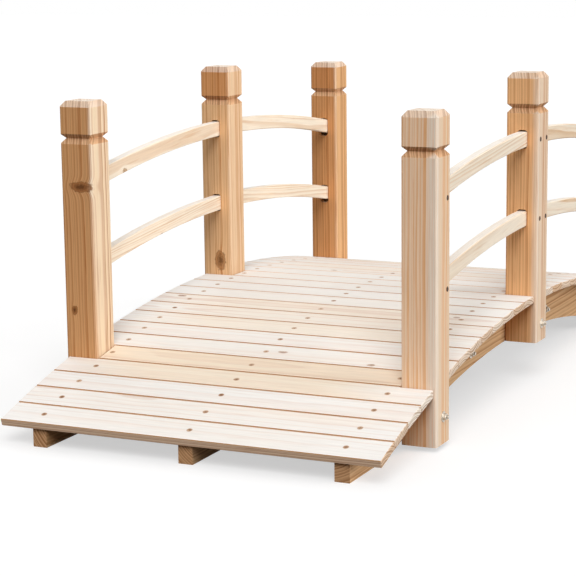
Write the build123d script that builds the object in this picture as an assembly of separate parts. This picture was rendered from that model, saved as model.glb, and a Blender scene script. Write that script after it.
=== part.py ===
from build123d import *
import math
import os

# Moon bridge: a plank deck on three arched stringers, with bolted posts and arched rails.
# Millimetres. +Z up, +Y along the crossing, +X to the right seen from the near end.
# The floor is at zero height and the bridge is centred on the origin.

# Arch: one circle in side view, measured on top of the planks.
bridge_length = 1525.0
crest_height = 162.0
end_height = 43.0

# Deck planks, laid across the stringers. Those in line with posts are cut short.
plank_count = 27
plank_length = 666.0
plank_gap = 2.5
plank_thickness = 12.5
plank_edge_break = 1.0
plank_post_clearance = 1.5

# Posts: square, with a V-groove cut under the head and a bevelled top.
post_side = 60.0
post_corner_radius = 4.0
post_proud = 5.0
end_post_plank = 5
end_post_lift = 8.0
end_post_top = 540.0
middle_post_top = 564.0
head_length = 72.0
groove_length = 17.0
groove_depth = 8.0
groove_bottom_share = 0.55
cap_rise = 10.0
cap_inset = 8.0

# Stringers: boards on edge, sawn to the arch, with level feet.
stringer_thickness = 25.0
stringer_depth = 74.0
stringer_end_setback = 7.0

# Rails: two in each bay of each side, let into the posts.
rail_height = 27.0
rail_thickness = 18.0
rail_edge_break = 1.5
upper_rail_rise = 284.0
lower_rail_rise = 141.0
mortise_depth = 25.0
mortise_side_clearance = 0.4
mortise_end_radius = 6.0
mortise_overshoot = 3.0

# Bolts: one through each post and its stringer, and two more along each outer stringer.
# Their heads and nuts stand clear of the wood.
bolt_head_half_flats = 6.0
bolt_head_height = 3.5
nut_half_flats = 5.0
nut_height = 6.6
bolt_tip_half_flats = 2.8
bolt_tip_height = 3.0
post_bolt_drop = 42.0
tie_bolt_drop = 50.0
tie_bolt_reach = 215.0

# Derived sizes and places.
arch_rise = crest_height - end_height
arch_radius = ((bridge_length / 2) ** 2 + arch_rise ** 2) / (2 * arch_rise)
arch_half_angle = math.asin(bridge_length / 2 / arch_radius)
arch_centre_height = crest_height - arch_radius
plank_width = (2 * arch_half_angle * arch_radius + plank_gap) / plank_count - plank_gap
plank_step = (plank_width + plank_gap) / arch_radius
middle_plank = (plank_count + 1) // 2
stringer_top_radius = arch_radius - plank_thickness
stringer_under_radius = stringer_top_radius - stringer_depth
stringer_outer_face = plank_length / 2 + post_proud - post_side
stringer_inner_face = stringer_outer_face - stringer_thickness
stringer_offset = (stringer_outer_face + stringer_inner_face) / 2
post_offset = stringer_outer_face + post_side / 2
post_spread = arch_radius * math.sin((middle_plank - end_post_plank) * plank_step)
post_planks = (end_post_plank, middle_plank, plank_count + 1 - end_post_plank)
middle_post_bottom = stringer_under_radius + arch_centre_height
sides = {"left": -1, "right": 1}
ends = {"near": -1, "middle": 0, "far": 1}
on_floor = (Align.CENTER, Align.CENTER, Align.MIN)
hung_from_top = (Align.CENTER, Align.CENTER, Align.MAX)


def height_on(radius, along):
    """Height of a circle about the arch's centre, at a distance along the crossing."""
    return arch_centre_height + math.sqrt(radius ** 2 - along ** 2)


def arch_strip(outer, inner, start, stop, thickness):
    """Board sawn between two circles of the arch, from start to stop, above the floor."""
    top = height_on(outer, 0)
    ring = Pos(0, arch_centre_height) * (Circle(outer) - Circle(inner))
    window = Pos((start + stop) / 2, top / 2) * Rectangle(stop - start, top)
    return extrude(Plane.YZ * (ring & window), thickness / 2, both=True)


def facing_out(across, reach, along, up):
    """Place on one side of the bridge whose own +X points away from the middle."""
    return Pos(across * reach, along, up) * Rot(Z=0 if across > 0 else 180)


def plank_place(number):
    """Middle of the top of a plank, tangent to the arch."""
    angle = math.degrees((number - middle_plank) * plank_step)
    return Pos(0, 0, arch_centre_height) * Rot(X=-angle) * Pos(0, 0, arch_radius)


def post_notches():
    """Room that the posts need through the deck, with clearance all round."""
    side = post_side + 2 * plank_post_clearance
    block = Box(side, side, end_post_top, align=on_floor)
    places = [(across, along) for across in sides.values() for along in ends.values()]
    return [Pos(across * post_offset, along * post_spread, 0) * block for across, along in places]


def make_plank(number, notches):
    length = plank_length
    if number in post_planks:
        length = 2 * (stringer_outer_face - plank_post_clearance)
    board = Box(length, plank_width, plank_thickness, align=hung_from_top)
    board = plank_place(number) * chamfer(board.edges(), plank_edge_break)
    if number not in post_planks:
        for notch in notches:
            board = board - notch
    return board


def make_stringer(across):
    end = stringer_top_radius * math.sin(arch_half_angle) - stringer_end_setback
    board = arch_strip(stringer_top_radius, stringer_under_radius, -end, end, stringer_thickness)
    return Pos(across * stringer_offset, 0, 0) * board


def post_outline(bottom, top):
    """Side view of a post, the same on all four sides."""
    half = post_side / 2
    shoulder = top - head_length
    right = [
        (half, bottom),
        (half, shoulder),
        (half - groove_depth, shoulder + groove_length * groove_bottom_share),
        (half, shoulder + groove_length),
        (half, top - cap_rise),
        (half - cap_inset, top),
    ]
    left = [(-across, up) for across, up in reversed(right)]
    return make_face(Polyline(*right, *left, close=True))


def rail_mortise(along, rail_radius, toward):
    """Round-cornered socket for a rail end in the post face that looks toward the rail."""
    face = along + toward * post_side / 2
    floor = face - toward * mortise_depth
    outer = rail_radius + rail_height / 2
    inner = rail_radius - rail_height / 2
    top = max(height_on(outer, face), height_on(outer, floor)) + mortise_overshoot
    bottom = min(height_on(inner, face), height_on(inner, floor)) - mortise_overshoot
    width = rail_thickness + 2 * mortise_side_clearance
    shape = RectangleRounded(width, top - bottom, mortise_end_radius)
    plane = Plane((0, floor, (top + bottom) / 2), x_dir=(1, 0, 0), z_dir=(0, toward, 0))
    return extrude(plane * shape, mortise_depth + post_side)


def make_post(across, place):
    along = place * post_spread
    bottom = end_post_lift if place else middle_post_bottom
    top = end_post_top if place else middle_post_top
    outline = post_outline(bottom, top)
    post = extrude(Plane.XZ * outline, post_side / 2, both=True)
    post = post & extrude(Plane.YZ * outline, post_side / 2, both=True)
    section = RectangleRounded(post_side, post_side, post_corner_radius)
    post = post & extrude(Pos(0, 0, bottom) * section, top - bottom)
    post = Pos(0, along, 0) * post
    for toward in (-1, 1):
        if place != toward:
            for rise in (lower_rail_rise, upper_rail_rise):
                post = post - rail_mortise(along, arch_radius + rise, toward)
    return Pos(across * post_offset, 0, 0) * post


def make_rail(across, toward, rise):
    """Curved bar of one bay, from the socket floor of the middle post to that of the end post."""
    radius = arch_radius + rise
    socket_floor = post_side / 2 - mortise_depth
    start, stop = sorted((toward * socket_floor, toward * (post_spread - socket_floor)))
    bar = arch_strip(radius + rail_height / 2, radius - rail_height / 2, start, stop, rail_thickness)
    bar = chamfer(bar.edges().filter_by(GeomType.CIRCLE), rail_edge_break)
    return Pos(across * post_offset, 0, 0) * bar


def bolt_rows():
    """Distance along, height and clamped length of each bolt on one side."""
    rows = []
    for place in ends.values():
        along = place * post_spread
        up = height_on(stringer_top_radius - post_bolt_drop, along)
        rows.append((along, up, stringer_thickness + post_side))
    for along in (-tie_bolt_reach, tie_bolt_reach):
        up = height_on(stringer_top_radius - tie_bolt_drop, along)
        rows.append((along, up, stringer_thickness))
    return rows


def hexagon_bar(half_flats, length):
    """Six-sided bar along +X, or along -X for a negative length."""
    return extrude(Plane.YZ * RegularPolygon(half_flats, 6, major_radius=False), length)


def make_bolts():
    """Heads on the stringers' inner faces, and nuts with the bolt tips on the outside."""
    head = hexagon_bar(bolt_head_half_flats, -bolt_head_height)
    nut = hexagon_bar(nut_half_flats, nut_height)
    nut = nut + hexagon_bar(bolt_tip_half_flats, nut_height + bolt_tip_height)
    pieces = []
    for across in sides.values():
        for along, up, grip in bolt_rows():
            pieces.append(facing_out(across, stringer_inner_face, along, up) * head)
            pieces.append(facing_out(across, stringer_inner_face + grip, along, up) * nut)
    return Compound(pieces)


parts = {}
notches = post_notches()
for number in range(1, plank_count + 1):
    parts["plank_%02d" % number] = make_plank(number, notches)
for name, across in (("left", -1), ("middle", 0), ("right", 1)):
    parts["stringer_" + name] = make_stringer(across)
for side, across in sides.items():
    for end, place in ends.items():
        parts["post_%s_%s" % (side, end)] = make_post(across, place)
    for end in ("near", "far"):
        parts["rail_upper_%s_%s" % (side, end)] = make_rail(across, ends[end], upper_rail_rise)
        parts["rail_lower_%s_%s" % (side, end)] = make_rail(across, ends[end], lower_rail_rise)
parts["bolts"] = make_bolts()

os.makedirs("parts", exist_ok=True)
for name, shape in parts.items():
    shape.label = name
    export_step(shape, "parts/%s.step" % name)
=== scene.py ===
import bmesh
import bpy
import math
import random
from mathutils import Matrix, Vector


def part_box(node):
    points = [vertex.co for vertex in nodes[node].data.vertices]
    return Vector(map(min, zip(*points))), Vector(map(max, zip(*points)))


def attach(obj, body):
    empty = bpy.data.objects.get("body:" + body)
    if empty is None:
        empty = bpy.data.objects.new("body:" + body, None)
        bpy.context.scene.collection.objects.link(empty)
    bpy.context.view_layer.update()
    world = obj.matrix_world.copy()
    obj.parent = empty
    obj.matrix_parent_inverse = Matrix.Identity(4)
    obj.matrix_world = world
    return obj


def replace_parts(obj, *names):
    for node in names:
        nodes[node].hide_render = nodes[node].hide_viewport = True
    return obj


# Moon bridge of unpainted fir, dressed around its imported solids.
# Metres, +Z up, +Y along the crossing, +X to the right seen from the near end.
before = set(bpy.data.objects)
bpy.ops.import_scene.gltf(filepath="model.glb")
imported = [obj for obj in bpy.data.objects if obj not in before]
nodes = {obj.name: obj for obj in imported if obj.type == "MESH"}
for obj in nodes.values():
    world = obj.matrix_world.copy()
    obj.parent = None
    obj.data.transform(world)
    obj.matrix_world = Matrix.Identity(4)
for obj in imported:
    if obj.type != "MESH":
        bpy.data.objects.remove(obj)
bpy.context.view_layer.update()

# Stringers: three boards on edge, sawn to the arch, that carry the deck.
# Planed fir with the grain straight along the board, so that the curve cuts across it.
# Their level feet show end grain at both ends of the bridge.


def shade(red, green, blue):
    """Linear colour of an 8-bit screen colour."""
    parts = [value / 255 for value in (red, green, blue)]
    return [((p + 0.055) / 1.055) ** 2.4 if p > 0.04045 else p / 12.92 for p in parts] + [1.0]


def darker(colour, shares):
    """Colour with its red, green and blue taken down to these shares."""
    return [part * share for part, share in zip(colour, shares)] + [1.0]


def add_node(tree, kind, inputs, **settings):
    """New node with its settings, and each input either linked or set."""
    made = tree.nodes.new(kind)
    for key, value in settings.items():
        setattr(made, key, value)
    for key, value in inputs.items():
        if isinstance(value, bpy.types.NodeSocket):
            tree.links.new(value, made.inputs[key])
        else:
            made.inputs[key].default_value = value
    return made


def calc(tree, operation, first, second=0.0, third=0.0):
    """Number worked out at each point of the surface."""
    inputs = {0: first, 1: second, 2: third}
    return add_node(tree, "ShaderNodeMath", inputs, operation=operation).outputs[0]


def vector_calc(tree, operation, first, second=(0, 0, 0)):
    """Vector worked out at each point, or a number if it is a length or a dot product."""
    made = add_node(tree, "ShaderNodeVectorMath", {0: first, 1: second}, operation=operation)
    return made.outputs["Value" if operation in ("LENGTH", "DOT_PRODUCT") else "Vector"]


def fade(tree, value, start, stop):
    """Smooth step from 0 at start to 1 at stop."""
    inputs = {"Value": value, "From Min": start, "From Max": stop}
    made = add_node(tree, "ShaderNodeMapRange", inputs, interpolation_type="SMOOTHSTEP")
    return made.outputs["Result"]


def mix_colour(tree, amount, first, second, how="MIX"):
    """Colour between two, or the first changed by the second."""
    inputs = {0: amount, 6: first, 7: second}
    made = add_node(tree, "ShaderNodeMix", inputs, data_type="RGBA", blend_type=how)
    return made.outputs[2]


def streaks(tree, board, waves, place, detail=3.0):
    """Noise from its own place, with its waves a metre along, across and through the board."""
    inputs = {"Vector": board, "Location": place, "Scale": waves}
    spread = add_node(tree, "ShaderNodeMapping", inputs).outputs[0]
    inputs = {"Vector": spread, "Scale": 1.0, "Detail": detail, "Roughness": 0.55}
    return add_node(tree, "ShaderNodeTexNoise", inputs)


def knot_pattern(tree, board, place, radius, knots):
    """Ragged knots that push the growth rings aside.

    Gives the pushed radius, the share of knot and the share of a knot's dark heart.
    """
    ragged_waves, raggedness = (160, 160, 160), 0.9
    knot_depth, push, whorls, whorl_depth = 1 / 60, 0.4, 15.0, 0.3
    knot_edge, heart_edge = (1.15, 0.8), (0.6, 0.25)
    knot, knot_heart = 0.0, 0.0
    ragged = streaks(tree, board, ragged_waves, place).outputs[0]
    for spot, length, width in knots:
        away = vector_calc(tree, "SUBTRACT", board, spot)
        away = vector_calc(tree, "MULTIPLY", away, (1 / length, 1 / width, 1 / knot_depth))
        away = vector_calc(tree, "LENGTH", away)
        hill = calc(tree, "MULTIPLY", calc(tree, "MULTIPLY", away, away), -0.5)
        hill = calc(tree, "EXPONENT", hill)
        radius = calc(tree, "MULTIPLY_ADD", hill, push * width, radius)
        edge = calc(tree, "ADD", away, -raggedness / 2)
        edge = calc(tree, "MULTIPLY_ADD", ragged, raggedness, edge)
        inside = fade(tree, edge, *knot_edge)
        whorl = calc(tree, "SINE", calc(tree, "MULTIPLY", edge, whorls))
        whorl = calc(tree, "MULTIPLY_ADD", whorl, whorl_depth, whorl_depth)
        dark = calc(tree, "MULTIPLY", inside, whorl)
        dark = calc(tree, "MAXIMUM", dark, fade(tree, edge, *heart_edge))
        knot = calc(tree, "MAXIMUM", knot, inside)
        knot_heart = calc(tree, "MAXIMUM", knot_heart, dark)
    return radius, knot, knot_heart


def year_lines(tree, radius, ring):
    """Late growth of each year, which deepens slowly and stops short."""
    year_drift, drift_waves, weakest_year = 3.0, 0.25, 0.3
    deepening, stopping = (0.25, 0.85), (1.0, 0.9)
    inputs = {"W": radius, "Scale": drift_waves / ring}
    uneven = add_node(tree, "ShaderNodeTexNoise", inputs, noise_dimensions="1D").outputs[0]
    years = calc(tree, "DIVIDE", radius, ring)
    years = calc(tree, "MULTIPLY_ADD", uneven, year_drift, years)
    season = calc(tree, "FRACT", years)
    inputs = {"W": calc(tree, "FLOOR", years)}
    chance = add_node(tree, "ShaderNodeTexWhiteNoise", inputs, noise_dimensions="1D")
    strength = chance.outputs["Value"]
    strength = calc(tree, "MULTIPLY_ADD", strength, 1 - weakest_year, weakest_year)
    late = fade(tree, season, *deepening)
    late = calc(tree, "MULTIPLY", late, fade(tree, season, *stopping))
    return calc(tree, "MULTIPLY", late, strength)


def fir(name, centre, along, face, log, colours, knots=()):
    """Fir sawn from a log: growth rings about a pith line, fibres, knots and end grain.

    along is the grain and face the way the board's broad side looks. log gives the place of
    the pith across the board, the width of a year's growth and the radius of the heartwood.
    colours are those of sapwood, heartwood, late growth and end grain. Each knot is its place
    along, across and through the board, and its length and width. Gives the material, and the
    parts of its pattern that a later finish follows.
    """
    dice = random.Random(name)
    place = [dice.uniform(-40, 40) for _ in range(3)]
    along = Vector(along).normalized()
    face = Vector(face).normalized()
    turn = Matrix((along, face.cross(along), face)).transposed().to_euler()
    pith, ring, core = log
    sap, heart, late_growth, end = colours
    wood = bpy.data.materials.new(name)
    wood.use_nodes = True
    tree = wood.node_tree
    shader = tree.nodes["Principled BSDF"]
    where = tree.nodes.new("ShaderNodeTexCoord")
    inputs = {"Vector": where.outputs["Object"], "Location": centre, "Rotation": turn}
    board = add_node(tree, "ShaderNodeMapping", inputs, vector_type="TEXTURE").outputs[0]

    # Distance from the pith line, which wanders by about a year's growth, and the years in it.
    wander_waves = (2.2, 11, 11)
    wander = streaks(tree, board, wander_waves, place).outputs["Color"]
    wander = vector_calc(tree, "SUBTRACT", wander, (0.5, 0.5, 0.5))
    wander = vector_calc(tree, "MULTIPLY", wander, (0, 2 * ring, 2 * ring))
    across = vector_calc(tree, "ADD", board, wander)
    across = vector_calc(tree, "SUBTRACT", across, (0, *pith))
    radius = vector_calc(tree, "LENGTH", vector_calc(tree, "MULTIPLY", across, (0, 1, 1)))
    knot, knot_heart = 0.0, 0.0
    if knots:
        radius, knot, knot_heart = knot_pattern(tree, board, place, radius, knots)
    late = year_lines(tree, radius, ring)

    # Fibres, pores and broad patches, all drawn out along the grain.
    fibre_waves, pore_waves, patch_waves = (16, 420, 420), (9, 190, 190), (2.2, 16, 16)
    pore_edge, pore_detail = (0.54, 0.7), 4.0
    fibre = streaks(tree, board, fibre_waves, place).outputs[0]
    pores = streaks(tree, board, pore_waves, place, pore_detail).outputs[0]
    pores = fade(tree, pores, *pore_edge)
    patch = streaks(tree, board, patch_waves, place).outputs[0]

    # Sapwood around the heartwood, with lines of late growth that come and go in patches.
    core_edge, patch_line, least_line, pore_depth = 1.5 * ring, 0.9, 0.35, 0.3
    depth = calc(tree, "MULTIPLY_ADD", patch, ring, radius)
    colour = mix_colour(tree, fade(tree, depth, core, core + core_edge), heart, sap)
    line = calc(tree, "MULTIPLY_ADD", patch, patch_line, least_line)
    line = calc(tree, "MULTIPLY", late, line)
    line = calc(tree, "MULTIPLY_ADD", pores, pore_depth, line)
    line = calc(tree, "MINIMUM", line, 1.0)
    colour = mix_colour(tree, line, colour, late_growth)

    # End grain where a face is cut across the fibres.
    cut_edge, end_line_power, end_line_shares = (0.3, 0.6), 0.6, (0.5, 0.36, 0.26)
    cut = vector_calc(tree, "DOT_PRODUCT", where.outputs["Normal"], along)
    cut = fade(tree, calc(tree, "ABSOLUTE", cut), *cut_edge)
    end_line = calc(tree, "POWER", late, end_line_power)
    end_grain = mix_colour(tree, end_line, end, darker(end, end_line_shares))
    colour = mix_colour(tree, cut, colour, end_grain)

    # Fibres over all of it, and the knots over those.
    fibre_depth, knot_strength, knot_heart_strength = 0.24, 0.8, 0.85
    knot_shares, knot_heart_shares = (0.8, 0.8, 0.8), (0.28, 0.28, 0.28)
    tone = calc(tree, "MULTIPLY_ADD", fibre, fibre_depth, 1 - fibre_depth / 2)
    tone = add_node(tree, "ShaderNodeCombineColor", {0: tone, 1: tone, 2: tone}).outputs[0]
    colour = mix_colour(tree, 1.0, colour, tone, "MULTIPLY")
    if knots:
        knot_share = calc(tree, "MULTIPLY", knot, knot_strength)
        colour = mix_colour(tree, knot_share, colour, darker(late_growth, knot_shares))
        heart_share = calc(tree, "MULTIPLY", knot_heart, knot_heart_strength)
        colour = mix_colour(tree, heart_share, colour, darker(late_growth, knot_heart_shares))

    # A planed surface: dull, with the late growth standing a little above the rest.
    late_relief, relief_strength, relief_depth = 0.6, 0.35, 0.0006
    smoothest, fibre_roughness, wood_gloss = 0.65, 0.2, 0.15
    relief = calc(tree, "MULTIPLY_ADD", late, late_relief, fibre)
    inputs = {"Height": relief, "Strength": relief_strength, "Distance": relief_depth}
    bump = add_node(tree, "ShaderNodeBump", inputs).outputs[0]
    roughness = calc(tree, "MULTIPLY_ADD", fibre, fibre_roughness, smoothest)
    tree.links.new(colour, shader.inputs["Base Color"])
    tree.links.new(bump, shader.inputs["Normal"])
    tree.links.new(roughness, shader.inputs["Roughness"])
    shader.inputs["Specular IOR Level"].default_value = wood_gloss
    grain = {"normal": where.outputs["Normal"], "board": board, "tone": tone}
    grain.update({"line": line, "patch": patch, "knot": knot})
    return wood, grain


def dress(node, material):
    """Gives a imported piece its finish."""
    nodes[node].data.materials.clear()
    nodes[node].data.materials.append(material)


def middle(node):
    """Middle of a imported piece's box."""
    low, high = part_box(node)
    return (low + high) / 2


stringer_colours = (
    shade(226, 184, 138),
    shade(216, 168, 118),
    shade(172, 114, 66),
    shade(212, 166, 122),
)
stringer_ring, stringer_core = 0.005, 0.06
stringer_piths = {"left": (-0.02, 0.05), "middle": (0.03, 0.09), "right": (0.06, -0.05)}
for side, pith in stringer_piths.items():
    node = "stringer_" + side
    log = (pith, stringer_ring, stringer_core)
    wood, _ = fir(node + "_fir", middle(node), (0, 1, 0), (1, 0, 0), log, stringer_colours)
    dress(node, wood)

# Posts: six squared lengths of fir with a V-groove cut under the head and a bevelled top.
# Each is sawn where the heartwood ends, so the front is orange and the right side nearly white.
# The left ones have knots or browner heads. Light has paled the tops.
# The front right arrises are paler too, partly paled by light and partly a painted highlight along
# the edge.


def facing(wood, grain, side, start, stop):
    """One on faces that look to a side, fading as they turn away."""
    turned = vector_calc(wood.node_tree, "DOT_PRODUCT", grain["normal"], side)
    return fade(wood.node_tree, turned, start, stop)


def tint(wood, mask, colour, how="MIX"):
    """Colour worked into the wood where the mask is."""
    tree = wood.node_tree
    socket = tree.nodes["Principled BSDF"].inputs["Base Color"]
    under = socket.links[0].from_socket
    tree.links.new(mix_colour(tree, mask, under, colour, how), socket)


def coat(wood, grain, mask, colour):
    """Colour laid over the wood, with its fibres showing through."""
    tint(wood, mask, mix_colour(wood.node_tree, 1.0, colour, grain["tone"], "MULTIPLY"))


def pale(wood, grain, mask, colour, amount):
    """Uneven paling by light, weaker on the hard lines and on knots."""
    patch_gain, line_loss, knot_loss = 0.8, 0.3, 0.6
    tree = wood.node_tree
    paling = calc(tree, "MULTIPLY_ADD", grain["patch"], patch_gain, amount)
    paling = calc(tree, "MULTIPLY_ADD", grain["line"], -line_loss, paling)
    paling = calc(tree, "MULTIPLY_ADD", grain["knot"], -knot_loss, paling)
    paling = calc(tree, "MINIMUM", calc(tree, "MAXIMUM", paling, 0.0), 1.0)
    coat(wood, grain, calc(tree, "MULTIPLY", mask, paling), colour)


# A face takes a finish from the first cosine and has it in full at the second.
square_on, half_on, aslant = (0.85, 0.97), (0.5, 0.8), (0.35, 0.65)
post_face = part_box("post_right_near")[1].x
post_half = (post_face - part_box("post_right_near")[0].x) / 2
post_log = ((-0.2, -0.12), 0.0046, 0.245)
post_end = shade(228, 184, 142)
paled = shade(251, 240, 226)
crown_height, crown_paling, top_paling = 0.014, 0.02, 0.25
head_height, head_edge = 0.062, 0.004
head_brown = shade(234, 208, 184)
head_browning = {"post_left_middle": 1.0, "post_left_far": 0.35}
# Front right arris: a pale strip, partly paled by light and partly a painted highlight along the
# edge.
arris_slant, arris_core = 1.5, 0.3
arris_place = -(1 + arris_slant) * post_half
arris_width_paling_and_highlight = {"post_right_near": (0.022, 0.2), "post_right_middle": (0.014, 0.2)}
usual_arris = (0.008, -0.2)
post_finishes = {
    "post_left_near": (shade(249, 225, 193), shade(225, 170, 117), shade(182, 114, 62)),
    "post_left_middle": (shade(240, 206, 168), shade(240, 196, 148), shade(200, 136, 82)),
    "post_left_far": (shade(236, 187, 135), shade(217, 157, 103), shade(172, 107, 57)),
    "post_right_near": (shade(244, 216, 186), shade(252, 218, 186), shade(236, 168, 103)),
    "post_right_middle": (shade(244, 218, 190), shade(248, 195, 141), shade(199, 131, 77)),
    "post_right_far": (shade(244, 210, 172), shade(226, 182, 136), shade(188, 130, 80)),
}
post_knots = {
    "post_left_near": [
        ((0.122, 0.008, -post_half), 0.009, 0.022),
        ((-0.09, -0.012, -post_half), 0.008, 0.006),
    ],
    "post_left_middle": [((-0.13, 0.006, -post_half), 0.02, 0.011)],
}
for node, finish in post_finishes.items():
    colours = (*finish, post_end)
    knots = post_knots.get(node, ())
    wood, grain = fir(node + "_fir", middle(node), (0, 0, 1), (0, 1, 0), post_log, colours, knots)
    tree = wood.node_tree
    height = vector_calc(tree, "DOT_PRODUCT", grain["board"], (1, 0, 0))
    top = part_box(node)[1].z - middle(node).z
    if node in head_browning:
        groove = top - head_height
        head = fade(tree, height, groove - head_edge, groove + head_edge)
        head = calc(tree, "MULTIPLY", head, facing(wood, grain, (0, -1, 0), *half_on))
        head = calc(tree, "MULTIPLY", head, head_browning[node])
        tint(wood, head, head_brown, "MULTIPLY")
    crown = fade(tree, height, top - 2 * crown_height, top - crown_height)
    crown = calc(tree, "MULTIPLY", crown, facing(wood, grain, (0, 0, 1), *aslant))
    pale(wood, grain, crown, paled, crown_paling)
    pale(wood, grain, facing(wood, grain, (0, 0, 1), *square_on), paled, top_paling)
    # Pale strip on the front right arris: paling by light together with a painted highlight.
    arris_width, arris_paling_and_highlight = arris_width_paling_and_highlight.get(node, usual_arris)
    arris = vector_calc(tree, "DOT_PRODUCT", grain["board"], (0, -1, arris_slant))
    full = arris_place + arris_core * arris_width
    arris = fade(tree, arris, arris_place + arris_width, full)
    pale(wood, grain, arris, paled, arris_paling_and_highlight)
    dress(node, wood)

# Deck: 27 planed planks laid across the stringers, a few millimetres apart.
# The broad side is bleached almost white, and the sawn edges stay brown.
# Their long arrises get a painted shade that darkens the gaps, strongest on the near planks.
# A few planks are warmer, as boards from the heart of the log are.
plank_count, middle_plank = 27, 14
plank_thickness = 0.0125
end_height = 0.043
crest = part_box("plank_%02d" % middle_plank)[1].z
deck_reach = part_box("plank_%02d" % plank_count)[1].y
arch_radius = (deck_reach ** 2 + (crest - end_height) ** 2) / (2 * (crest - end_height))
plank_step = middle("plank_%02d" % (middle_plank + 1)).y / (arch_radius - plank_thickness / 2)
outer_stringer = middle("stringer_right").x
screw_lines = (-outer_stringer, 0.0, outer_stringer)
plank_pith_across, plank_pith_depths = 0.03, (0.05, 0.09)
plank_rings, plank_cores = (0.0035, 0.005), (0.04, 0.1)
plank_colours = (shade(255, 228, 200), shade(252, 220, 190), shade(200, 142, 100))
dull_end, fresh_end = shade(230, 196, 162), shade(253, 243, 230)
end_freshness = {1: 0.15, 2: 0.4, 3: 1.0, 4: 0.95}
bleached_white, warm_white = shade(247, 243, 238), shade(246, 221, 184)
whiteness = {1: 0.68, 2: 0.58, 3: 0.62, 11: 0.72, 12: 0.8, 13: 0.8, 14: 0.76, 15: 0.72}
warmth = {4: 0.52, 5: 0.58, 8: 0.35, 9: 0.25, 10: 0.3, 17: 0.2, 20: 0.3, 24: 0.25}
usual_whiteness, usual_warmth = (0.46, 0.62), (0, 0.1)
warm_reach = {5: 0.55}
usual_warm_reach, warm_edge, warm_raggedness = 0.42, 0.2, 0.15
# Painted shade on the long arrises that darkens the gaps: full on the near planks, weaker further
# on.
gap_shade_brown = shade(178, 126, 72)
darkest_gap_planks, gap_shade_loss, least_gap_shade = 8, 0.08, 0.4
# Painted shade of a countersink: a brown ring round each deck screw head.
countersink_shade = shade(182, 132, 86)
countersink_shade_radius, countersink_shade_edge, countersink_shade_strength = 0.004, 0.0056, 0.7
glancing = (0.3, 0.55)
plank_knots = {
    4: [((0.0, -0.001, 0), 0.006, 0.003)],
    6: [((0.03, 0.003, 0), 0.009, 0.005), ((0.199, -0.018, 0), 0.008, 0.005)],
    10: [((-0.29, 0.017, 0), 0.01, 0.006), ((0.254, 0.011, 0), 0.008, 0.005)],
    16: [((-0.12, -0.01, 0), 0.008, 0.005)],
    21: [((0.15, 0.012, 0), 0.01, 0.006)],
    25: [((-0.21, 0.004, 0), 0.008, 0.005)],
}
for number in range(1, plank_count + 1):
    node = "plank_%02d" % number
    dice = random.Random(number)
    angle = (number - middle_plank) * plank_step
    normal = Vector((0, math.sin(angle), math.cos(angle)))
    pith_across = dice.uniform(-plank_pith_across, plank_pith_across)
    pith = (pith_across, dice.choice((-1, 1)) * dice.uniform(*plank_pith_depths))
    log = (pith, dice.uniform(*plank_rings), dice.uniform(*plank_cores))
    fresh = end_freshness.get(number, random.Random(plank_count + number).random())
    end = [a + (b - a) * fresh for a, b in zip(dull_end, fresh_end)]
    colours = (*plank_colours, end)
    knots = plank_knots.get(number, ())
    wood, grain = fir(node + "_fir", middle(node), (1, 0, 0), normal, log, colours, knots)
    tree = wood.node_tree
    broad = facing(wood, grain, normal, *square_on)
    warm = warmth.get(number, dice.uniform(*usual_warmth))
    reach = calc(tree, "ABSOLUTE", vector_calc(tree, "DOT_PRODUCT", grain["board"], (1, 0, 0)))
    reach = calc(tree, "MULTIPLY_ADD", grain["patch"], warm_raggedness, reach)
    warm_end = warm_reach.get(number, usual_warm_reach)
    warm = calc(tree, "MULTIPLY", fade(tree, reach, warm_end, warm_end - warm_edge), warm)
    bleached = mix_colour(tree, warm, bleached_white, warm_white)
    bleaching = whiteness.get(number, dice.uniform(*usual_whiteness))
    pale(wood, grain, broad, bleached, bleaching)
    arris = calc(tree, "SUBTRACT", facing(wood, grain, normal, *glancing), broad)
    for end_side in ((1, 0, 0), (-1, 0, 0)):
        square_cut = facing(wood, grain, end_side, *glancing)
        arris = calc(tree, "MAXIMUM", calc(tree, "SUBTRACT", arris, square_cut), 0.0)
    # Painted shade along the gaps between planks, weakening plank by plank after the near ones.
    gap_shade = max(least_gap_shade, 1.0 - gap_shade_loss * max(0, number - darkest_gap_planks))
    coat(wood, grain, calc(tree, "MULTIPLY", arris, gap_shade), gap_shade_brown)
    # Painted shade of the countersink round each screw, in the plank's own material.
    for screw_place in screw_lines:
        gap = vector_calc(tree, "SUBTRACT", grain["board"], (screw_place, 0, 0))
        gap = vector_calc(tree, "LENGTH", vector_calc(tree, "MULTIPLY", gap, (1, 1, 0)))
        countersink_shade_mask = calc(tree, "MULTIPLY", fade(tree, gap, countersink_shade_edge, countersink_shade_radius), countersink_shade_strength)
        coat(wood, grain, countersink_shade_mask, countersink_shade)
    dress(node, wood)

# Deck screws: three countersunk cross-head screws hold each plank to the stringers.
# Brown-coated steel, driven almost flush with the wood.
screw_radius, screw_proud = 0.0039, 0.0003
recess_depth, recess_taper, recess_share, cross_share = 0.0002, 0.7, 0.6, 0.2


def finish_mesh(name, bm):
    """Mesh of the built shape, its faces turned outward."""
    mesh = bpy.data.meshes.new(name)
    bmesh.ops.recalc_face_normals(bm, faces=bm.faces)
    bm.to_mesh(mesh)
    bm.free()
    return mesh


def only(kind, parts):
    """Parts of one kind among those that an operator made."""
    return [part for part in parts if isinstance(part, kind)]


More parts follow.
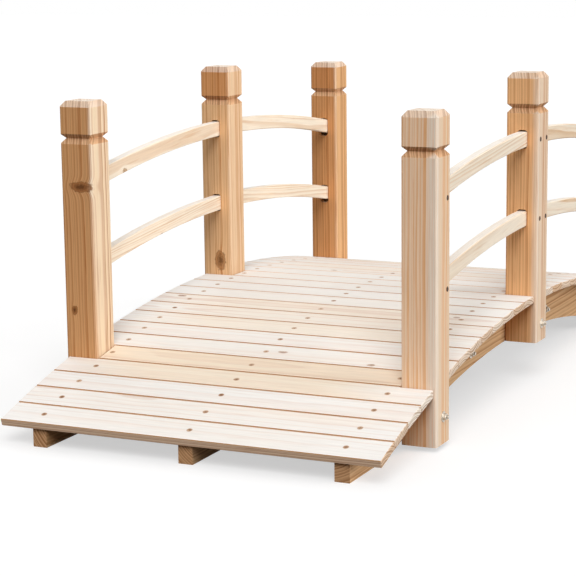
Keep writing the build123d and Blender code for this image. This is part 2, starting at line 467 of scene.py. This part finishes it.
def screw_head():
    """Head that looks along +Z, with a sunk cross."""
    bm = bmesh.new()
    bmesh.ops.create_grid(bm, x_segments=3, y_segments=3, size=screw_radius * recess_share)
    rim = [edge for edge in bm.edges if edge.is_boundary]
    for vert in {vert for edge in rim for vert in edge.verts}:
        vert.co = vert.co.normalized() * screw_radius
    skirt = only(bmesh.types.BMVert, bmesh.ops.extrude_edge_only(bm, edges=rim)["geom"])
    bmesh.ops.translate(bm, verts=skirt, vec=(0, 0, -2 * recess_depth))
    cross = []
    for flat in bm.faces:
        spot = flat.calc_center_median()
        on_cross = min(abs(spot.x), abs(spot.y)) < screw_radius * cross_share
        if flat.normal.z > 0.9 and on_cross:
            cross.append(flat)
    sunk = bmesh.ops.extrude_face_region(bm, geom=cross)["geom"]
    # The faces of the sunk cross take the second material, a painted shade in the recess.
    for flat in only(bmesh.types.BMFace, sunk):
        flat.material_index = 1
    sunk = only(bmesh.types.BMVert, sunk)
    bmesh.ops.delete(bm, geom=cross, context="FACES_ONLY")
    bmesh.ops.translate(bm, verts=sunk, vec=(0, 0, -recess_depth))
    bmesh.ops.scale(bm, verts=sunk, vec=(recess_taper, recess_taper, 1))
    return finish_mesh("screw_head", bm)


def add_copy(bm, mesh, place):
    """One more of a repeated shape, set in its place."""
    first = len(bm.verts)
    bm.from_mesh(mesh)
    bm.verts.ensure_lookup_table()
    bmesh.ops.transform(bm, matrix=place, verts=bm.verts[first:])


def add_steel(name, bm, material):
    """Finished piece of hardware that rides on the bridge."""
    piece = bpy.data.objects.new(name, finish_mesh(name, bm))
    piece.data.materials.append(material)
    bpy.context.scene.collection.objects.link(piece)
    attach(piece, "root")
    return piece


def coated_steel(name, dark, light, roughness, metallic):
    """Coated or plated steel, mottled by handling, and lighter in some places than in others."""
    mottle_waves, mottle_roughness, relief_strength, relief_depth = 260.0, 0.3, 0.1, 0.0002
    weather_waves, weather_share, light_edge = 14.0, 1.6, (0.2, 0.8)
    steel = bpy.data.materials.new(name)
    steel.use_nodes = True
    tree = steel.node_tree
    shader = tree.nodes["Principled BSDF"]
    where = tree.nodes.new("ShaderNodeTexCoord").outputs["Object"]
    inputs = {"Vector": where, "Scale": mottle_waves, "Detail": 4.0}
    mottle = add_node(tree, "ShaderNodeTexNoise", inputs).outputs[0]
    inputs = {"Vector": where, "Scale": weather_waves, "Detail": 2.0}
    weather = add_node(tree, "ShaderNodeTexNoise", inputs).outputs[0]
    bright = calc(tree, "ADD", mottle, -weather_share / 2)
    bright = calc(tree, "MULTIPLY_ADD", weather, weather_share, bright)
    colour = mix_colour(tree, fade(tree, bright, *light_edge), dark, light)
    rough = calc(tree, "MULTIPLY_ADD", mottle, mottle_roughness, roughness)
    inputs = {"Height": mottle, "Strength": relief_strength, "Distance": relief_depth}
    bump = add_node(tree, "ShaderNodeBump", inputs).outputs[0]
    tree.links.new(colour, shader.inputs["Base Color"])
    tree.links.new(rough, shader.inputs["Roughness"])
    tree.links.new(bump, shader.inputs["Normal"])
    shader.inputs["Metallic"].default_value = metallic
    return steel


deck_head = screw_head()
arch_centre = Matrix.Translation((0, 0, crest - arch_radius))
dice = random.Random(3)
deck_screws = bmesh.new()
for number in range(1, plank_count + 1):
    lean = Matrix.Rotation(-(number - middle_plank) * plank_step, 4, "X")
    for screw_place in screw_lines:
        seat = Matrix.Translation((screw_place, 0, arch_radius + screw_proud))
        twist = Matrix.Rotation(dice.uniform(0, math.pi), 4, "Z")
        add_copy(deck_screws, deck_head, arch_centre @ lean @ seat @ twist)
bpy.data.meshes.remove(deck_head)
brown_steel = coated_steel("brown_screw_steel", shade(164, 118, 78), shade(218, 186, 154), 0.5, 0.0)
# Darker steel for the sunk cross: painted shade in the shallow recess.
recess_painted_shade = coated_steel("screw_recess_painted_shade", shade(98, 66, 42), shade(156, 116, 84), 0.7, 0.0)
add_steel("deck_screws", deck_screws, brown_steel).data.materials.append(recess_painted_shade)

# Rails: curved bars sawn from straight boards, two in each bay of each side.
# Pale clear fir with a few small knots, paler on top.
# The grain follows the chord of the bay, so it runs out at the edges.
rail_colours = (
    shade(252, 238, 218),
    shade(250, 231, 206),
    shade(222, 181, 138),
    shade(228, 194, 158),
)
rail_pith_across, rail_pith_depths = 0.05, (0.05, 0.1)
rail_ring, rail_core = 0.0036, 0.06
rail_top, rail_white, rail_paling = (0.8, 0.95), shade(252, 246, 238), 0.4
chord_rises = {"near": 0.1, "far": -0.1}
rail_knots = {
    "rail_upper_left_near": [
        ((-0.14, -0.002, 0), 0.009, 0.006),
        ((-0.02, -0.008, 0), 0.006, 0.004),
    ],
    "rail_lower_left_near": [((-0.01, -0.004, 0), 0.01, 0.006)],
    "rail_upper_right_far": [((0.08, 0.002, 0), 0.009, 0.006)],
}
for level in ("upper", "lower"):
    for side in ("left", "right"):
        for bay, chord_rise in chord_rises.items():
            node = "rail_%s_%s_%s" % (level, side, bay)
            dice = random.Random(node)
            pith_across = dice.uniform(-rail_pith_across, rail_pith_across)
            log = ((pith_across, dice.uniform(*rail_pith_depths)), rail_ring, rail_core)
            knots = rail_knots.get(node, ())
            centre, chord = middle(node), (0, 1, chord_rise)
            wood, grain = fir(node + "_fir", centre, chord, (1, 0, 0), log, rail_colours, knots)
            on_top = facing(wood, grain, (0, 0, 1), *rail_top)
            pale(wood, grain, on_top, rail_white, rail_paling)
            dress(node, wood)

# Rail nails: one through the outer face of the post into each rail end.
# Round-headed steel nails, driven home so that only the low head shows.
# Its dark brown is partly the steel and partly a painted shade of the hole the nail is set in.
upper_rail_rise, lower_rail_rise = 0.284, 0.141
socket_middle = 0.0125
nail_radius, nail_proud, nail_rounding, nail_sides = 0.0043, 0.0006, 0.0004, 14
to_x = Matrix.Rotation(math.pi / 2, 4, "Y")
half_turn = Matrix.Rotation(math.pi, 4, "Z")


def add_disc(bm, sides, radius, start, thickness, rounding):
    """Flat disc across X with its outer rim rounded over."""
    seat = Matrix.Translation((start + thickness / 2, 0, 0)) @ to_x
    size = {"radius1": radius, "radius2": radius, "depth": thickness}
    disc = bmesh.ops.create_cone(bm, cap_ends=True, segments=sides, matrix=seat, **size)["verts"]
    outer = {vert for vert in disc if vert.co.x > start + thickness * 0.9}
    rim = [edge for edge in bm.edges if outer.issuperset(edge.verts)]
    shape = {"segments": 2, "profile": 0.5, "affect": "EDGES", "material": -1}
    bmesh.ops.bevel(bm, geom=rim, offset=rounding, offset_type="OFFSET", **shape)


def add_pair(bm, mesh, seat):
    """A repeated shape on the right side, and half a turn round on the left."""
    add_copy(bm, mesh, seat)
    add_copy(bm, mesh, half_turn @ seat)


def arch_height(radius, along):
    """Height of a circle about the arch's centre, at a place along the bridge."""
    return crest - arch_radius + math.sqrt(radius ** 2 - along ** 2)


nail = bmesh.new()
add_disc(nail, nail_sides, nail_radius, -nail_proud, 2 * nail_proud, nail_rounding)
nail_head = finish_mesh("nail_head", nail)
rail_nails = bmesh.new()
for bay in (-1, 1):
    inner_end = bay * (post_half - socket_middle)
    outer_end = bay * middle("post_right_far").y - inner_end
    for along in (inner_end, outer_end):
        for rise in (upper_rail_rise, lower_rail_rise):
            seat = (post_face, along, arch_height(arch_radius + rise, along))
            add_pair(rail_nails, nail_head, Matrix.Translation(seat))
bpy.data.meshes.remove(nail_head)
# Dark steel whose colour also stands in for the painted shade of the nail hole.
dark_steel_and_hole_shade = coated_steel("nail_steel_and_hole_shade", shade(62, 41, 28), shade(108, 78, 54), 0.6, 0.0)
add_steel("rail_nails", rail_nails, dark_steel_and_hole_shade)

# Bolts: a zinc-plated coach bolt through each post and its stringer, and two more along
# each outer stringer. A domed head bears on the inside. Outside are a washer, a hexagon nut
# and the bolt's threaded tip.
post_bolt_drop, tie_bolt_drop, tie_bolt_reach = 0.042, 0.050, 0.215
dome_radius, dome_rise, dome_sides, dome_rings = 0.0075, 0.0035, 20, 12
washer_radius, washer_thickness, washer_rounding, washer_sides = 0.009, 0.0016, 0.0004, 28
nut_radius, nut_height, nut_rounding, nut_sides = 0.0057, 0.005, 0.0007, 6
thread_radius, thread_depth, thread_pitch = 0.003, 0.0004, 0.00097
thread_turns, thread_sides, seam = 3, 16, 0.00001
thread_profile = ((0.25, 0), (0.75, 0), (1.0, thread_depth))
stringer_top = arch_radius - plank_thickness
inner_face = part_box("stringer_right")[0].x
stringer_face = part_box("stringer_right")[1].x


def coach_bolt(grip):
    """Bolt along +X, its head seated at zero and its nut at the end of the grip."""
    bm = bmesh.new()
    squash = Matrix.Diagonal((dome_rise / dome_radius, 1, 1, 1)) @ to_x
    size = {"u_segments": dome_sides, "v_segments": dome_rings, "radius": dome_radius}
    bmesh.ops.create_uvsphere(bm, matrix=squash, **size)
    ball = bm.verts[:] + bm.edges[:] + bm.faces[:]
    bmesh.ops.bisect_plane(bm, geom=ball, plane_co=(0, 0, 0), plane_no=(1, 0, 0), clear_outer=True)
    add_disc(bm, washer_sides, washer_radius, grip, washer_thickness, washer_rounding)
    add_disc(bm, nut_sides, nut_radius, grip + washer_thickness, nut_height, nut_rounding)
    tip = grip + washer_thickness + nut_height
    outline = [bm.verts.new((tip, thread_radius - thread_depth, 0))]
    for turn in range(thread_turns):
        for step, cut in thread_profile:
            reach = tip + (turn + step) * thread_pitch
            outline.append(bm.verts.new((reach, thread_radius - cut, 0)))
    outline.append(bm.verts.new((outline[-1].co.x, 0, 0)))
    edges = [bm.edges.new(pair) for pair in zip(outline, outline[1:])]
    about_x = {"cent": (0, 0, 0), "axis": (1, 0, 0), "angle": 2 * math.pi}
    bmesh.ops.spin(bm, geom=outline + edges, steps=thread_sides, use_merge=True, **about_x)
    bmesh.ops.remove_doubles(bm, verts=bm.verts, dist=seam)
    return finish_mesh("coach_bolt", bm)


right_posts = [node for node in nodes if node.startswith("post_right")]
bolt_rows = [(middle(post).y, post_bolt_drop, post_face) for post in right_posts]
bolt_rows += [(along, tie_bolt_drop, stringer_face) for along in (-tie_bolt_reach, tie_bolt_reach)]
bolts = bmesh.new()
for along, drop, outside in bolt_rows:
    bolt = coach_bolt(outside - inner_face)
    seat = (inner_face, along, arch_height(stringer_top - drop, along))
    add_pair(bolts, bolt, Matrix.Translation(seat))
    bpy.data.meshes.remove(bolt)
zinc = coated_steel("zinc_plating", shade(186, 178, 166), shade(208, 201, 190), 0.3, 1.0)
dress("bolts", zinc)
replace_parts(add_steel("coach_bolts", bolts, zinc), "bolts")

# Floor: a plain pale studio floor under the bridge.
# The camera sees it white with a soft shadow, and the wood gets little of its light back.
floor_reach, floor_drop = 15.0, 0.0003
floor_dull, floor_lit, floor_glow = (0.1, 0.09, 0.08, 1), (0.5, 0.5, 0.5, 1), 0.56


def backdrop_rays(tree):
    """One where the camera, a mirror or a glass looks at the backdrop, and zero for its light."""
    rays = tree.nodes.new("ShaderNodeLightPath").outputs
    seen = calc(tree, "MAXIMUM", rays["Is Camera Ray"], rays["Is Glossy Ray"])
    return calc(tree, "MAXIMUM", seen, rays["Is Transmission Ray"])


sheet = bmesh.new()
bmesh.ops.create_grid(sheet, x_segments=1, y_segments=1, size=floor_reach)
bmesh.ops.translate(sheet, verts=sheet.verts, vec=(0, 0, -floor_drop))
floor = bpy.data.objects.new("studio_floor", finish_mesh("studio_floor", sheet))
bpy.context.scene.collection.objects.link(floor)
paper = bpy.data.materials.new("studio_paper")
paper.use_nodes = True
tree = paper.node_tree
tree.nodes.remove(tree.nodes["Principled BSDF"])
dull = add_node(tree, "ShaderNodeBsdfDiffuse", {"Color": floor_dull}).outputs[0]
lit = add_node(tree, "ShaderNodeBsdfDiffuse", {"Color": floor_lit}).outputs[0]
inputs = {"Color": (1, 1, 1, 1), "Strength": floor_glow}
glow = add_node(tree, "ShaderNodeEmission", inputs).outputs[0]
white = add_node(tree, "ShaderNodeAddShader", {0: lit, 1: glow}).outputs[0]
inputs = {0: backdrop_rays(tree), 1: dull, 2: white}
both = add_node(tree, "ShaderNodeMixShader", inputs).outputs[0]
tree.links.new(both, tree.nodes["Material Output"].inputs["Surface"])
floor.data.materials.append(paper)

# Studio light: a white surround that dims toward the floor, so that the underside stays dark.
# One broad lamp stands high before the near end, one low at the right, and a weak one behind.
surround_low, surround_gain = 0.08, 0.44
lamp_spread = math.radians(35)
lamps = {
    "front_lamp": (1.72, (0.28, -0.66, 0.7)),
    "side_lamp": (1.65, (0.95, 0.1, 0.28)),
    "back_lamp": (0.4, (-0.6, 0.6, 0.52)),
}
world = bpy.data.worlds.new("studio")
world.use_nodes = True
tree = world.node_tree
direction = tree.nodes.new("ShaderNodeTexCoord").outputs["Generated"]
upward = add_node(tree, "ShaderNodeSeparateXYZ", {0: direction}).outputs["Z"]
upward = calc(tree, "MAXIMUM", upward, 0.0)
surround = calc(tree, "MULTIPLY_ADD", upward, surround_gain, surround_low)
surround = calc(tree, "MAXIMUM", surround, backdrop_rays(tree))
tree.links.new(surround, tree.nodes["Background"].inputs["Strength"])
tree.nodes["Background"].inputs["Color"].default_value = (1, 1, 1, 1)
bpy.context.scene.world = world
for name, (energy, source) in lamps.items():
    lamp = bpy.data.lights.new(name, "SUN")
    lamp.energy = energy
    lamp.angle = lamp_spread
    stand = bpy.data.objects.new(name, lamp)
    stand.rotation_euler = Vector(source).to_track_quat("Z", "Y").to_euler()
    bpy.context.scene.collection.objects.link(stand)

# Camera: at the photograph's viewing angle, to the right of the near end and above the rails.
# The image is 576 by 576 pixels, and the camera leans a little, as the photograph does.
image_width, focal_pixels, sensor_width = 576, 1896.6, 36
camera_place = (1.3578, -3.2697, 0.8018)
azimuth, elevation, roll = (math.radians(angle) for angle in (25.07, 10.41, 0.7))
ahead = Vector((-math.sin(azimuth), math.cos(azimuth), 0)) * math.cos(elevation)
forward = ahead - Vector((0, 0, math.sin(elevation)))
level_right = Vector((math.cos(azimuth), math.sin(azimuth), 0))
level_up = level_right.cross(forward)
right = math.cos(roll) * level_right - math.sin(roll) * level_up
up = math.sin(roll) * level_right + math.cos(roll) * level_up
lens = bpy.data.cameras.new("photo_camera")
lens.sensor_width = sensor_width
lens.lens = focal_pixels / image_width * sensor_width
camera = bpy.data.objects.new("photo_camera", lens)
aim = Matrix((right, up, -forward)).transposed().to_4x4()
camera.matrix_world = Matrix.Translation(camera_place) @ aim
bpy.context.scene.collection.objects.link(camera)
bpy.context.scene.camera = camera
bpy.context.scene.view_settings.view_transform = "Standard"
